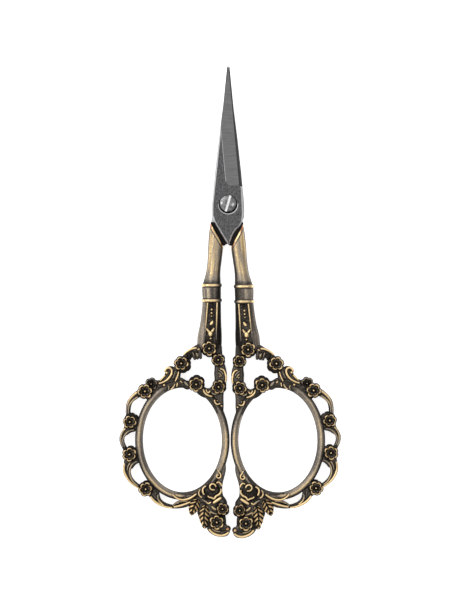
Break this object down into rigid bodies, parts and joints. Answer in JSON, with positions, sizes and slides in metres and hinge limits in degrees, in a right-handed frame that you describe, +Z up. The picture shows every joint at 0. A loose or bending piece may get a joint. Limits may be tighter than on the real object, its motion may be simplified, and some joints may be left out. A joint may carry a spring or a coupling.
{
  "type": "embroidery scissors",
  "caption": "Slim pointed embroidery scissors with dark steel blades, a slotted pivot screw and antique brass handles cast with flowers, scrolls and leaves.",
  "frame": {"origin": "on the surface the closed scissors lie on, under the middle of their length and width", "axes": "+Y along the blades towards the tips, +X to the side of the handle that carries the front blade, +Z up through the thickness"},
  "size_m": [0.0598, 0.127, 0.0052],
  "materials": {
    "blade_steel": "blackened, with ground bevels",
    "antique_brass": "antiqued, dark in the recesses and rubbed bright on the relief",
    "bright_steel": "polished"
  },
  "bodies": {
    "rear_half": {"rear_blade": "blade_steel", "left_handle": "antique_brass", "pivot_screw": "bright_steel"},
    "front_half": {"front_blade": "blade_steel", "right_handle": "antique_brass"}
  },
  "joints": [
    {"name": "blade_pivot", "type": "hinge", "parent": "rear_half", "child": "front_half", "pos_m": [0, 0.02651, 0.0026], "axis": [0, 0, 1], "range_deg": [0, 105]}
  ]
}
